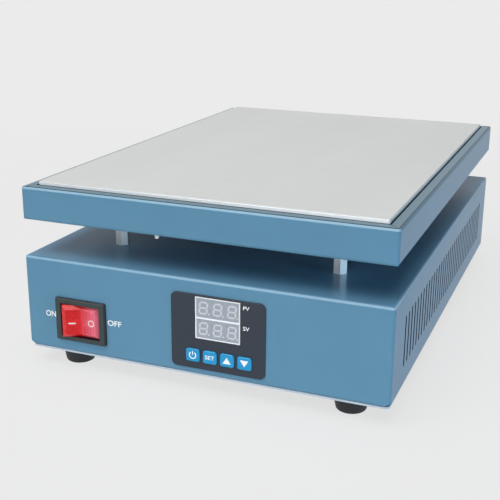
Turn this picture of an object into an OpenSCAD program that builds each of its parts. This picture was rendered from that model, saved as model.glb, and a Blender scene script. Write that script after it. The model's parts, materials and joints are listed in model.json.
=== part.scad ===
// LCD screen separator: a heated plate in a folded steel tray, carried on four
// hex standoffs above a case that holds the controls. Millimetres, +Z up, front
// towards -Y, origin on the ground under the middle of the case.

/* [Case] */
// Width of the case
case_w = 212; // [200:1:260]
// Depth of the case, front to rear
case_d = 300; // [280:1:380]
// Height of the case walls
case_h = 54; // [52:1:80]
// Thickness of the folded sheet
sheet_t = 1.2; // [1:0.1:1.5]
// Outer radius of the sheet bends
bend_r = 1.8; // [1.6:0.1:2.5]
// Width of the flanges turned in under the case
flange_w = 10; // [9:0.5:11]
// Size of the relief cut at the bottom corners
corner_cut = 3; // [2:0.5:4]
// Distance from the case edge to the bottom plate edge
floor_margin = 1; // [0.5:0.5:3]

/* [Vents] */
// Width of a vent slot
vent_w = 2.5; // [1.5:0.5:4]
// Height of a vent slot
vent_h = 28.5; // [15:0.5:32]
// Spacing of the vent slots
vent_pitch = 7.4; // [6:0.2:12]
// Height of the slots' lower ends above the case underside
vent_sill = 12; // [8:1:16]
// Distance from the case front to the first slot
vent_front = 26.5; // [20:0.5:60]
// Clear distance from the last slot to the case rear
vent_rear = 26.5; // [20:0.5:120]

/* [Feet] */
// Radius of a foot where it meets the bottom plate
foot_r = 10; // [9.5:0.5:12]
// Height of a foot
foot_h = 9.8; // [8:0.2:14]
// Angle of the foot side to the vertical, in degrees
foot_angle = 11; // [4:1:14]
// Rounding of the foot's lower edge
foot_round = 1.5; // [0.5:0.5:2]
// Distance from the case side to the foot centre
foot_side = 24; // [20:1:40]
// Distance from the case front or rear to the foot centre
foot_end = 15; // [14:0.5:20]
// Radius of the screw well in a foot
foot_well_r = 5; // [4.5:0.25:5.5]
// Depth of the screw well in a foot
foot_well_h = 5; // [4:0.5:6]

/* [Top tray] */
// Height of the air gap between case and tray
air_gap = 20.5; // [12:0.5:40]
// Height of the tray
tray_h = 19; // [17:0.5:30]
// Setback of the tray's front and rear from those of the case
tray_setback = 0.5; // [0:0.5:4]
// Width of the lip turned in round the tray's top
tray_lip = 6; // [4:0.5:9]
// Distance across the flats of a standoff
standoff_af = 7; // [6:0.5:9]
// Distance from the case side to a standoff
standoff_side = 40; // [36:1:48]
// Distance from the case front or rear to a standoff
standoff_end = 40.5; // [34:0.5:46]
// Turn of a standoff from having one of its edges straight to the front
standoff_turn = 15; // [0:1:30]
// Distance from the tray centre line to the earth screw
earth_screw_x = 29; // [20:1:45]
// Distance from the tray front to the earth screw
earth_screw_inset = 12.5; // [12:0.5:14]
// Length of the earth screw below the tray
earth_screw_drop = 5; // [4:0.5:8]

/* [Heating plate] */
// Thickness of the heating plate
plate_t = 6; // [5.5:0.5:8]
// Height of the plate above the tray lip
plate_proud = 2; // [0.5:0.5:4]
// Gap between the plate and the tray lip
plate_gap = 1; // [0.5:0.25:3]
// Bevel round the top of the plate
plate_bevel = 0.4; // [0.2:0.1:0.8]
// Corner radius of the plate
plate_corner_r = 1; // [0.5:0.25:3]
// Distance from the plate edge to its spacers
spacer_inset = 10; // [9:0.5:12]
// Outer radius of a spacer
spacer_r = 4; // [3.5:0.25:4.5]

/* [Heater] */
// Thickness of each mica sheet
mica_t = 0.5; // [0.3:0.1:0.8]
// Thickness of the resistance ribbon
ribbon_t = 0.3; // [0.2:0.05:0.5]
// Width of the resistance ribbon
ribbon_w = 3; // [2:0.5:4]
// Spacing of the ribbon's rows
ribbon_pitch = 10; // [8:0.5:14]
// Thickness of the clamp plate
clamp_t = 1.2; // [1:0.1:2]
// Distance from the plate edge to the edges of the heater sheets
stack_inset = 4; // [3:0.5:5]
// Width of the window under the plate for leads and sensor
window_w = 44; // [40:1:46]
// Depth of that window
window_d = 60; // [56:1:64]
// Distance of the lead sleeve behind the middle
lead_y = 45; // [40:1:60]
// Distance from the window's front edge to the lead sleeve
lead_setback = 40; // [38:1:42]
// Outer radius of the lead sleeve
sleeve_r = 5; // [4.8:0.1:5.5]
// Wall of the lead sleeve
sleeve_t = 0.7; // [0.5:0.05:0.8]

/* [Rocker switch] */
// Distance from the case side to the switch centre
switch_side = 35.15; // [32:0.05:40]
// Height of the switch centre above the case underside
switch_up = 19.5; // [18:0.5:30]
// Width of the switch bezel
switch_w = 31.8; // [31:0.1:33]
// Height of the switch bezel
switch_h = 25.2; // [24.6:0.1:26]
// Thickness of the switch bezel
bezel_t = 2; // [1.5:0.1:2.5]
// Bevel round the switch bezel
bezel_bevel = 0.8; // [0.4:0.1:1.2]
// Width of the well that the rocker moves in
well_w = 24.4; // [23:0.1:25]
// Height of that well
well_h = 19.2; // [18:0.1:19.8]
// Depth of the switch body behind the case front
switch_depth = 20; // [18:0.5:24]
// Angle that the rocker swings through, in degrees
rocker_angle = 24; // [16:1:26]
// Depth of the rocker's pivot below its pressed face
pivot_depth = 3; // [3:0.1:3.6]
// Radius of the rocker's pivots
pivot_r = 1.2; // [0.8:0.1:1.2]

/* [Control panel] */
// Distance from the case centre line to the panel centre
panel_off = 12.3; // [0:0.1:20]
// Height of the panel's lower edge above the case underside
panel_sill = 3.5; // [3:0.5:6]
// Width of the panel overlay
panel_w = 54; // [52:0.5:60]
// Distance from the panel's upper edge to the case top
panel_crown = 8; // [4.5:0.5:8.5]
// Thickness of the panel overlay
panel_t = 0.8; // [0.5:0.1:1.2]
// Corner radius of the panel overlay
panel_r = 3.5; // [2:0.5:6]
// Width of the display
display_w = 25.6; // [24:0.2:30]
// Height of the display as a share of the panel's
display_share = 0.553; // [0.52:0.001:0.56]
// Distance from the panel's upper edge to the display
display_drop = 1.2; // [1:0.1:1.6]
// Width of a key
key_w = 8; // [7:0.1:8.4]
// Height of a key as a share of the panel's
key_h_share = 0.172; // [0.155:0.001:0.188]
// Spacing of the keys
key_pitch = 9.9; // [9.8:0.1:11]
// Distance of the row of keys to the right of the panel's middle
key_shift = 0.7; // [0:0.1:1]
// Height of the key centres in the panel as a share of the panel's
key_up_share = 0.186; // [0.165:0.001:0.188]
// Height of a key above the overlay
key_proud = 0.8; // [0.7:0.1:1.5]
// Travel of a key
key_travel = 0.5; // [0.25:0.05:0.6]

/* [Mains inlet] */
// Distance from the case side to the inlet centre
inlet_side = 46; // [40:1:66]
// Width of the inlet flange
inlet_w = 50; // [49:0.5:54]
// Height of the inlet flange
inlet_h = 22.5; // [22:0.5:26]
// Thickness of the inlet flange
inlet_t = 3; // [2:0.5:4]
// Depth of the inlet body behind the flange
inlet_depth = 19.5; // [18.5:0.5:24]

/* [Electrics] */
// Distance between the heatsink fins and the case flange
sink_gap = 1.5; // [0.5:0.5:6]
// Length of the heatsink along the case
sink_l = 76; // [70:1:90]
// Distance from the heatsink's top to the case top
sink_headroom = 10; // [8:0.5:12]
// Length of a heatsink fin
fin_l = 15; // [10:1:18]
// Distance of the heatsink centre in front of the middle
sink_front = 25; // [15:1:35]
// Length of the relay
relay_l = 58; // [54:1:62]
// Height by which the heatsink is taller than the relay
relay_margin = 4; // [2:0.5:6]
// Thickness of the relay
relay_t = 22; // [18:0.5:26]
// Distance from the case side to the middle of the terminal strip
strip_side = 44; // [42:1:50]
// Distance of the terminal strip behind the middle
strip_back = 20; // [10:1:30]
// Spacing of the strip's ways
way_pitch = 11; // [10:0.5:12]
// Radius of the mains wires
wire_r = 1.3; // [0.9:0.1:1.4]
// Radius of the signal wires
signal_r = 0.9; // [0.6:0.1:1]

/* [Hidden] */

circle_facets = 48;
$fn = circle_facets;
// Overrun that carries a cut past the face it cuts
over = 1;

// Running and assembly clearances
screw_gap = 0.2;
panel_gap = 0.2;
pivot_gap = 0.06;
seat_gap = 0.1;
hole_gap = 0.6;

// Fasteners: shank radii, and head and nut sizes as shares of the shank radius
m3_r = 1.5;
m4_r = 2;
head_r_share = 1.85;
head_h_share = 1.2;
nut_af_share = 3.5;
nut_h_share = 1.6;
slot_w_share = 0.4;
slot_l_share = 2;
slot_depth_share = 0.55;
head_outline_shares = [[0, 0], [1, 0], [1, 0.45], [0.7, 1], [0, 1]];
thread_bite = 4;

// Levels from the ground up
case_z = foot_h + sheet_t;
case_top = case_z + case_h;
case_mid = case_z + case_h / 2;
tray_z = case_top + air_gap;
tray_top = tray_z + tray_h;
tray_floor = tray_z + sheet_t;
plate_top = tray_top + plate_proud;
plate_z = plate_top - plate_t;
upper_mica_z = plate_z - mica_t;
ribbon_z = upper_mica_z - ribbon_t;
lower_mica_z = ribbon_z - mica_t;
clamp_z = lower_mica_z - clamp_t;
blanket_t = clamp_z - tray_floor;

// Plan sizes
tray_w = case_w;
tray_d = case_d - 2 * tray_setback;
plate_w = tray_w - 2 * (tray_lip + plate_gap);
plate_d = tray_d - 2 * (tray_lip + plate_gap);
stack_w = plate_w - 2 * stack_inset;
stack_d = plate_d - 2 * stack_inset;
inner_x = case_w / 2 - sheet_t;
inner_y = case_d / 2 - sheet_t;
foot_x = case_w / 2 - foot_side;
foot_y = case_d / 2 - foot_end;
standoff_x = case_w / 2 - standoff_side;
standoff_y = case_d / 2 - standoff_end;
spacer_x = plate_w / 2 - spacer_inset;
spacer_y = plate_d / 2 - spacer_inset;
earth_screw_y = earth_screw_inset - tray_d / 2;

// Vent slots and flange screws
vent_run = case_d - vent_front - vent_rear;
vent_count = floor(vent_run / vent_pitch) + 1;
side_screw_share = 0.63;
side_screw_y = side_screw_share * case_d / 2;
flange_mid = flange_w / 2;
self_tap_gap = 0.1;
mitre_w = 0.8;
lip_mitre_w = 0.3;
floor_corner_r = 3;

// Feet
foot_floor_r = foot_r - (foot_h - foot_round) * tan(foot_angle);
foot_arc_r = foot_floor_r - foot_round / cos(foot_angle);

// Lead sleeve and its grommets
grommet_r = 9;
grommet_neck_r = 7.5;
grommet_lip = 1.5;
sleeve_low = case_top - sheet_t - 3 * grommet_lip;
sleeve_high = tray_floor + 2 * grommet_lip;
lead_spread = sleeve_r - sleeve_t - wire_r - seat_gap;

// Heater ribbon
window_front = lead_y - lead_setback;
ribbon_in = window_w / 2 + ribbon_w;
ribbon_out = plate_w / 2 - 2 * spacer_inset;
ribbon_end_margin = 12;
ribbon_front = ribbon_end_margin - plate_d / 2;
ribbon_rows = 2 * floor((plate_d - 2 * ribbon_end_margin) / ribbon_pitch / 2);
ribbon_mid = (ribbon_in + ribbon_out) / 2;
lead_strip_share = 0.64;
lead_strip_x = lead_strip_share * window_w / 2;
tab_w = 6;
tab_l = 12;
tab_grip = 4;
clamp_row_shares = [0.1, 0.5, 0.9];

// Thermocouple, with the window for it in the upper mica
ring_r = 5;
ring_t = 1;
ring_barrel_r = 1.6;
ring_barrel_l = 8;
ring_setback = 14;
ring_y = window_front + ring_setback;
ring_barrel_end = ring_y + ring_r + ring_barrel_l;
ring_barrel_z = plate_z - ring_barrel_r - seat_gap;
ring_barrel_start = head_r_share * m4_r + seat_gap;
sensor_window_share = 0.3;

// Rocker switch
switch_x = switch_side - case_w / 2;
switch_z = case_z + switch_up;
end_wall = 1.6;
side_wall = 1.2;
body_w = well_w + 2 * end_wall;
body_h = well_h + 2 * side_wall;
rocker_gap = 0.25;
rocker_end_gap = 0.5;
rocker_r = well_w / 2 - rocker_end_gap;
rocker_w = well_h - 2 * rocker_gap;
rocker_sink = 0.3;
pivot_z = bezel_t - rocker_sink - pivot_depth;
half_angle = rocker_angle / 2;
rocker_valley = pivot_depth / cos(half_angle);
facet_l = sqrt(pow(rocker_r, 2) - pow(pivot_depth, 2)) - pivot_depth * tan(half_angle);
rocker_under_share = 0.34;
rocker_under = rocker_under_share * rocker_r;
well_floor_gap = 1;
rocker_bevel = 2;
well_depth = rocker_r * sin(half_angle) + rocker_under + well_floor_gap;
rib_count = 7;
rib_w = 0.45;
rib_depth = 0.25;
rib_pitch = 0.95;
rib_margin = 0.6;
rib_start_share = 0.19;
mark_gap = 4.4;
barb_t = 1.6;
barb_l = 6;
barb_h = 8;
body_corner_r = 0.8;
bezel_corner_r = 1.2;

// Blade terminals and their receptacles
blade_w = 6.3;
blade_t = 0.8;
blade_out = 9;
blade_in = 3;
blade_dx_share = 0.24;
blade_dz_share = 0.26;
blade_gap = 0.06;
receptacle_w = 7.6;
receptacle_t = 3.2;
receptacle_l = 10.5;
receptacle_back = 1.2;

// Control panel
panel_h = case_h - panel_sill - panel_crown;
panel_z = case_z + panel_sill + panel_h / 2;
display_h = display_share * panel_h;
display_z = panel_h / 2 - display_drop - display_h / 2;
display_sink = 0.1;
display_depth = 9.5;
frame_wall = 0.6;
frame_bar = 0.9;
face_depth = 1;
face_sink = 0.15;
row_h = (display_h - 2 * frame_wall - frame_bar) / 2;
row_w = display_w - 2 * frame_wall;
digits = 3;
digit_w_share = 0.52;
digit_h_share = 0.59;
digit_w = digit_w_share * row_w / digits;
digit_h = digit_h_share * row_h;
segment_w = 0.95;
segment_gap = 0.12;
point_r = 0.5;
slant = 0.1;
key_h = key_h_share * panel_h;
keys_z = (key_up_share - 0.5) * panel_h;
key_r = 1.6;
key_bevel = 0.35;
key_collar = 0.5;
key_collar_t = 0.9;
key_stem_r = 1.6;
key_engage = 0.4;

// Control board
board_edge_w = 4;
board_edge_h = 0.5;
board_w = panel_w + 2 * board_edge_w;
board_h = panel_h + 2 * board_edge_h;
board_t = 1.6;
board_r = 1;
board_front = panel_t - display_sink - display_depth;
pillar_inset = 4;
pillar_af = 5.5;
tact_w = 6;
tact_h = 4.3;
tact_well_r = key_stem_r + panel_gap;
core_w = 22;
core_h = 18;
core_t = 14;
bobbin_w = 14;
bobbin_h = 12;
bobbin_t = 20;
capacitor_r = 5;
capacitor_l = 18;
board_way = 7;
board_ways = 5;
block_h = 8;
block_t = 11;
block_wall = 1;
block_well = 3;
block_down_share = 0.3;
block_z = -block_down_share * board_h;
core_x_share = 0.17;

// Heatsink and relay
sink_h = case_h - sink_headroom;
relay_h = sink_h - relay_margin;
sink_t = 5;
fin_t = 1.6;
fins = 9;
sink_y = -sink_front;
sink_x = case_w / 2 - flange_w - sink_gap - fin_l - sink_t;
relay_z = case_z + sink_h / 2;
relay_x = sink_x - relay_t;
relay_edge = 1;
relay_block_w = 8;
relay_block_h = 7;
relay_block_t = 3;
relay_block_y_share = 0.32;
relay_block_z_share = 0.3;
relay_block_y = relay_block_y_share * relay_l;
relay_block_z = relay_block_z_share * relay_h;
sink_screw_y_share = 0.35;
sink_screw_y = sink_screw_y_share * sink_l;
sink_screw_l = 8;
relay_screw_share = 0.42;
relay_screw_y = relay_screw_share * relay_l;

// Terminal strip
ways = 4;
strip_x = strip_side - case_w / 2;
strip_w = 18;
strip_h = 8;
strip_lug = 8;
strip_lug_h = 4;
barrier_t = 1.2;
barrier_h = 5;
contact_w = 7;
contact_h = 4;
contact_z = case_z + strip_h + contact_h / 2;
strip_l = ways * way_pitch + barrier_t;

// Mains inlet
inlet_x = inlet_side - case_w / 2;
inlet_body_w = 27.4;
inlet_body_h = 19.8;
cavity_w = 24.4;
cavity_h = 16.6;
cavity_cut = 4;
cavity_depth = 17;
inlet_hole_span = 40;
inlet_corner_r = 5;
pin_w = 2;
pin_h = 4;
pin_span = 7;
pin_drop = 2;
pin_l = 15;
pin_root = 1.5;
pin_z = inlet_t - cavity_depth - pin_root;

// Earth stud on the bottom plate, in front of the inlet
stud_l = 10;
stud_setback = 84;
stud_y = case_d / 2 - stud_setback;
lug_barrel_l = 9;
lug_barrel_r = 2;
lug_barrel_start = nut_r(m4_r) + seat_gap;

// Wire routes
wire_steps = 8;
wire_sides = 6;
wire_pair = 1.5 * wire_r;
long_pull = 48;
mid_pull = 28;
short_pull = 15;
lead_pull = 7;

function strip_way_x(i) = strip_x + (i - (ways - 1) / 2) * way_pitch;
function board_way_x(i) = panel_off + (i - (board_ways - 1) / 2) * board_way;
function nut_r(r) = nut_af_share * r / sqrt(3);
function bez(a, b, c, d, t) =
    pow(1 - t, 3) * a + 3 * pow(1 - t, 2) * t * b + 3 * (1 - t) * pow(t, 2) * c + pow(t, 3) * d;
function bez_slope(a, b, c, d, t) =
    pow(1 - t, 2) * (b - a) + 2 * (1 - t) * t * (c - b) + pow(t, 2) * (d - c);
function unit(v) = v / norm(v);
function seg_points(x, z, l, upright) =
    let (h = segment_w / 2, e = l / 2 - segment_gap,
         flat = [[-e, 0], [h - e, h], [e - h, h], [e, 0], [e - h, -h], [h - e, -h]])
    [for (p = flat) let (q = upright ? [x - p[1], z + p[0]] : [x + p[0], z + p[1]])
        [q[0] + slant * q[1], q[1]]];

// Plan helpers
module rounded_rect(w, d, r) {
    square([w - 2 * r, d], center = true);
    square([w, d - 2 * r], center = true);
    for (x = [-1, 1], y = [-1, 1])
        translate([x * (w / 2 - r), y * (d / 2 - r)]) circle(r);
}

module slot_shape(w, l) {
    square([w, l - w], center = true);
    for (s = [-1, 1]) translate([0, s * (l - w) / 2]) circle(w / 2);
}

module four(x, y) {
    for (i = [-1, 1], j = [-1, 1]) translate([i * x, j * y, 0]) children();
}

module sheet(w, d, t, r) {
    linear_extrude(t) rounded_rect(w, d, r);
}

// A block whose twelve edges are all rounded, centred on the origin
module folded_block(w, d, h, r) {
    intersection() {
        translate([0, 0, -h / 2]) sheet(w, d, h, r);
        rotate([90, 0, 0]) translate([0, 0, -d / 2]) sheet(w, h, d, r);
        rotate([90, 0, 90]) translate([0, 0, -w / 2]) sheet(d, h, w, r);
    }
}

// A folded box open to neither side: the outer block less the inner one
module folded_shell(w, d, h) {
    t2 = 2 * sheet_t;
    difference() {
        folded_block(w, d, h, bend_r);
        folded_block(w - t2, d - t2, h - t2, bend_r - sheet_t);
    }
}

module bevel_outline(w, h, b) {
    polygon([[-w / 2, 0], [w / 2, 0], [w / 2, h - b], [w / 2 - b, h], [b - w / 2, h], [-w / 2, h - b]]);
}

// A block on the plane z = 0 with a bevel round its upper face
module bevel_block(w, d, h, r, b) {
    intersection() {
        sheet(w, d, h, r);
        rotate([90, 0, 0]) translate([0, 0, -d / 2]) linear_extrude(d) bevel_outline(w, h, b);
        rotate([90, 0, 90]) translate([0, 0, -w / 2]) linear_extrude(w) bevel_outline(d, h, b);
    }
}

// Frames on the case front and rear: z points out of the case, y points up
module on_front(x, z) {
    translate([x, -case_d / 2, z]) rotate([90, 0, 0]) children();
}

module on_rear(x, z) {
    translate([x, case_d / 2, z]) rotate([90, 0, 180]) children();
}

module through_sheet(w, h, r) {
    translate([0, 0, -sheet_t - over]) sheet(w, h, sheet_t + 2 * over, r);
}

// Fasteners: the head stands on z = 0 and the shank goes down
module pan_screw(r, l) {
    head_r = head_r_share * r;
    head_h = head_h_share * r;
    slot_h = slot_depth_share * head_h;
    difference() {
        union() {
            translate([0, 0, -l]) cylinder(h = l, r = r);
            rotate_extrude() polygon([for (p = head_outline_shares) [p[0] * head_r, p[1] * head_h]]);
        }
        for (a = [0, 90]) rotate([0, 0, a]) translate([0, 0, head_h])
            cube([slot_l_share * r, slot_w_share * r, 2 * slot_h], center = true);
    }
}

module hex_nut(r) {
    difference() {
        cylinder(h = nut_h_share * r, r = nut_r(r), $fn = 6);
        translate([0, 0, -over]) cylinder(h = nut_h_share * r + 2 * over, r = r + seat_gap);
    }
}

module hole(r, h) {
    translate([0, 0, -over]) cylinder(h = h + 2 * over, r = r);
}

module blind(r, depth) {
    translate([0, 0, -over]) cylinder(h = depth + over, r = r);
}

module hex_bar(af, l, bore_r) {
    difference() {
        rotate([0, 0, 30]) cylinder(h = l, r = af / sqrt(3), $fn = 6);
        hole(bore_r, l);
    }
}

// Round wire along one or more Bezier stretches, each [start, pull, pull, end]
module wire(stretches, r, side) {
    steps = [for (s = [0:len(stretches) - 1]) for (i = [(s == 0 ? 0 : 1):wire_steps])
        [s, i / wire_steps]];
    centres = [for (k = steps) let (b = stretches[k[0]]) bez(b[0], b[1], b[2], b[3], k[1])];
    slopes = [for (k = steps) let (b = stretches[k[0]]) unit(bez_slope(b[0], b[1], b[2], b[3], k[1]))];
    last = len(steps) - 1;
    points = [for (k = [0:last]) let (u = unit(cross(side, slopes[k])), v = cross(slopes[k], u))
        for (j = [0:wire_sides - 1]) let (a = 360 * j / wire_sides)
            centres[k] + r * (cos(a) * u + sin(a) * v)];
    walls = [for (k = [0:last - 1]) for (j = [0:wire_sides - 1])
        let (a = k * wire_sides + j, b = k * wire_sides + (j + 1) % wire_sides)
        each [[a, a + wire_sides, b], [b, a + wire_sides, b + wire_sides]]];
    ends = [for (j = [1:wire_sides - 2])
        each [[0, j, j + 1], [last * wire_sides, last * wire_sides + j + 1, last * wire_sides + j]]];
    polyhedron(points = points, faces = concat(walls, ends));
}

function run(a, pull_a, b, pull_b) = [a, a + pull_a, b + pull_b, b];

// Case

module base_case() color([0.37, 0.57, 0.69]) {
    difference() {
        translate([0, 0, case_mid]) folded_shell(case_w, case_d, case_h);
        translate([0, 0, case_z - over]) sheet(case_w - 2 * flange_w, case_d - 2 * flange_w,
            sheet_t + 2 * over, bend_r);
        case_corner_reliefs();
        case_vents();
        case_front_cuts();
        case_rear_cuts();
        case_top_cuts();
        translate([0, 0, case_z]) flange_screw_places() hole(m3_r + self_tap_gap, sheet_t);
    }
}

module case_corner_reliefs() {
    for (x = [-1, 1], y = [-1, 1]) translate([x * case_w / 2, y * case_d / 2, case_z]) {
        rotate([0, 0, x * y * 45]) {
            rotate([0, 45, 0])
                cube([corner_cut * sqrt(2), 4 * corner_cut, corner_cut * sqrt(2)], center = true);
            cube([2 * flange_w * sqrt(2), mitre_w, 2 * sheet_t + mitre_w], center = true);
        }
    }
}

module case_vents() {
    for (i = [0:vent_count - 1])
        translate([-case_w / 2 - over, vent_front - case_d / 2 + i * vent_pitch,
                   case_z + vent_sill + vent_h / 2])
            rotate([90, 0, 90]) linear_extrude(case_w + 2 * over) slot_shape(vent_w, vent_h);
}

module case_front_cuts() {
    on_front(switch_x, switch_z)
        through_sheet(body_w + 2 * panel_gap, body_h + 2 * panel_gap, body_corner_r);
    on_front(panel_off, panel_z) panel_openings(-sheet_t, sheet_t);
}

module case_rear_cuts() {
    on_rear(inlet_x, case_mid) {
        through_sheet(inlet_body_w + 2 * panel_gap, inlet_body_h + 2 * panel_gap, body_corner_r);
        for (s = [-1, 1]) translate([s * inlet_hole_span / 2, 0, -sheet_t])
            hole(m3_r + screw_gap, sheet_t);
    }
}

module case_top_cuts() {
    translate([0, 0, case_top - sheet_t]) {
        four(standoff_x, standoff_y) hole(m4_r + screw_gap, sheet_t);
        translate([0, lead_y, 0]) hole(grommet_neck_r + seat_gap, sheet_t);
    }
}

module flange_screw_places() {
    four(case_w / 2 - flange_mid, side_screw_y) children();
    for (s = [-1, 1]) translate([s * (case_w / 2 - flange_mid), 0, 0]) children();
}

module bottom_plate() color([0.35, 0.54, 0.66]) {
    translate([0, 0, foot_h]) difference() {
        sheet(case_w - 2 * floor_margin, case_d - 2 * floor_margin, sheet_t, floor_corner_r);
        flange_screw_places() hole(m3_r + screw_gap, sheet_t);
        four(foot_x, foot_y) hole(m4_r + screw_gap, sheet_t);
        sink_screw_places() hole(m3_r + screw_gap, sheet_t);
        strip_screw_places() hole(m3_r + screw_gap, sheet_t);
        translate([inlet_x, stud_y, 0]) hole(m4_r + screw_gap, sheet_t);
    }
}

module bottom_screws() color([0.75, 0.75, 0.77]) {
    translate([0, 0, foot_h]) mirror([0, 0, 1]) {
        flange_screw_places() pan_screw(m3_r, thread_bite);
        sink_screw_places() pan_screw(m3_r, sink_screw_l);
    }
}

module foot_outline() {
    polygon([
        [m4_r + screw_gap, foot_well_h], [foot_well_r, foot_well_h], [foot_well_r, 0],
        [foot_arc_r, 0], [foot_arc_r, foot_round],
        [foot_arc_r + foot_round * cos(foot_angle), foot_round * (1 - sin(foot_angle))],
        [foot_r, foot_h], [m4_r + screw_gap, foot_h]
    ]);
    translate([foot_arc_r, foot_round]) intersection() {
        circle(foot_round);
        translate([0, -foot_round]) square(foot_round);
    }
}

module rubber_feet() color([0.09, 0.09, 0.1]) {
    four(foot_x, foot_y) rotate_extrude() foot_outline();
}

module foot_screws() color([0.75, 0.75, 0.77]) {
    translate([0, 0, foot_well_h]) four(foot_x, foot_y) mirror([0, 0, 1])
        pan_screw(m4_r, foot_h - foot_well_h + sheet_t + nut_h_share * m4_r + over);
}

// The nuts inside the case: on the feet, the inlet and the earth stud
module case_nuts() color([0.75, 0.75, 0.77]) {
    translate([0, 0, case_z]) four(foot_x, foot_y) hex_nut(m4_r);
    translate([inlet_x, stud_y, case_z + ring_t]) hex_nut(m4_r);
    inlet_screw_places() translate([0, 0, -sheet_t]) mirror([0, 0, 1]) hex_nut(m3_r);
}

// Standoffs and leads between case and tray

module standoffs() color([0.8, 0.8, 0.78]) {
    translate([0, 0, case_top]) four(standoff_x, standoff_y)
        rotate([0, 0, standoff_turn]) hex_bar(standoff_af, air_gap, m4_r + seat_gap);
}

module standoff_screws() color([0.75, 0.75, 0.77]) {
    l = sheet_t + 1.5 * thread_bite;
    four(standoff_x, standoff_y) {
        translate([0, 0, case_top - sheet_t]) mirror([0, 0, 1]) pan_screw(m4_r, l);
        translate([0, 0, tray_floor]) pan_screw(m4_r, l);
    }
}

module grommet() {
    rotate_extrude() difference() {
        translate([sleeve_r + seat_gap, -grommet_lip])
            square([grommet_r - sleeve_r - seat_gap, sheet_t + 2 * grommet_lip]);
        translate([grommet_neck_r, 0]) square([grommet_r, sheet_t]);
    }
}

module lead_grommets() color([0.1, 0.1, 0.1]) {
    for (z = [case_top - sheet_t, tray_z]) translate([0, lead_y, z]) grommet();
}

module lead_sleeve() color([0.9, 0.88, 0.8]) {
    translate([0, lead_y, sleeve_low]) difference() {
        cylinder(h = sleeve_high - sleeve_low, r = sleeve_r);
        hole(sleeve_r - sleeve_t, sleeve_high - sleeve_low);
    }
}

// Top tray

module top_tray() color([0.39, 0.6, 0.72]) {
    difference() {
        translate([0, 0, tray_z + tray_h / 2]) folded_shell(tray_w, tray_d, tray_h);
        translate([0, 0, tray_top - sheet_t - over])
            sheet(tray_w - 2 * tray_lip, tray_d - 2 * tray_lip, sheet_t + 2 * over, plate_corner_r);
        translate([0, 0, tray_z]) {
            four(standoff_x, standoff_y) hole(m4_r + screw_gap, sheet_t);
            spacer_places() hole(m4_r + screw_gap, sheet_t);
            translate([0, lead_y, 0]) hole(grommet_neck_r + seat_gap, sheet_t);
            translate([-earth_screw_x, earth_screw_y, 0]) hole(m3_r + screw_gap, sheet_t);
        }
        tray_mitres();
    }
}

// The seams in the lip where its four sides meet
module tray_mitres() {
    start = (bend_r + lip_mitre_w) * sqrt(2);
    for (x = [-1, 1], y = [-1, 1])
        translate([x * tray_w / 2, y * tray_d / 2, tray_top - sheet_t - over])
            rotate([0, 0, atan2(-y, -x)]) translate([start, -lip_mitre_w / 2, 0])
                cube([tray_lip * sqrt(2) + plate_corner_r - start, lip_mitre_w, sheet_t + 2 * over]);
}

module tray_earth_screw() color([0.85, 0.85, 0.85]) {
    translate([-earth_screw_x, earth_screw_y, tray_floor])
        pan_screw(m3_r, sheet_t + earth_screw_drop);
}

module tray_earth_nut() color([0.85, 0.85, 0.85]) {
    translate([-earth_screw_x, earth_screw_y, tray_z]) mirror([0, 0, 1]) hex_nut(m3_r);
}

// Heating plate and heater

module spacer_places() {
    four(spacer_x, spacer_y) children();
    for (s = [-1, 1]) translate([s * spacer_x, 0, 0]) children();
}

module clamp_screw_places() {
    for (s = [-1, 1], share = clamp_row_shares)
        translate([s * ribbon_mid,
                   ribbon_front + (round(share * (ribbon_rows - 2)) + 0.5) * ribbon_pitch, 0])
            children();
}

module heating_plate() color([0.82, 0.83, 0.82]) {
    translate([0, 0, plate_z]) difference() {
        bevel_block(plate_w, plate_d, plate_t, plate_corner_r, plate_bevel);
        spacer_places() blind(m4_r + seat_gap, thread_bite + seat_gap);
        clamp_screw_places() blind(m3_r + seat_gap, thread_bite + seat_gap);
        translate([0, ring_y, 0]) blind(m4_r + seat_gap, thread_bite + seat_gap);
    }
}

module plate_spacers() color([0.93, 0.91, 0.86]) {
    translate([0, 0, tray_floor]) spacer_places() difference() {
        cylinder(h = plate_z - tray_floor, r = spacer_r);
        hole(m4_r + screw_gap, plate_z - tray_floor);
    }
}

module plate_screws() color([0.75, 0.75, 0.77]) {
    translate([0, 0, tray_z]) spacer_places() mirror([0, 0, 1])
        pan_screw(m4_r, plate_z - tray_z + thread_bite);
}

// A sheet of the heater, with a window of the given width
module stack_sheet(t, w) {
    difference() {
        sheet(stack_w, stack_d, t, plate_corner_r);
        spacer_places() hole(spacer_r + hole_gap, t);
        clamp_screw_places() hole(m3_r + screw_gap, t);
        translate([0, window_front + window_d / 2, -over])
            sheet(w, window_d, t + 2 * over, plate_corner_r);
    }
}

module upper_mica() color([0.78, 0.72, 0.6]) {
    translate([0, 0, upper_mica_z]) stack_sheet(mica_t, sensor_window_share * window_w);
}

module lower_mica() color([0.74, 0.68, 0.56]) {
    translate([0, 0, lower_mica_z]) stack_sheet(mica_t, window_w);
}

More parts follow.
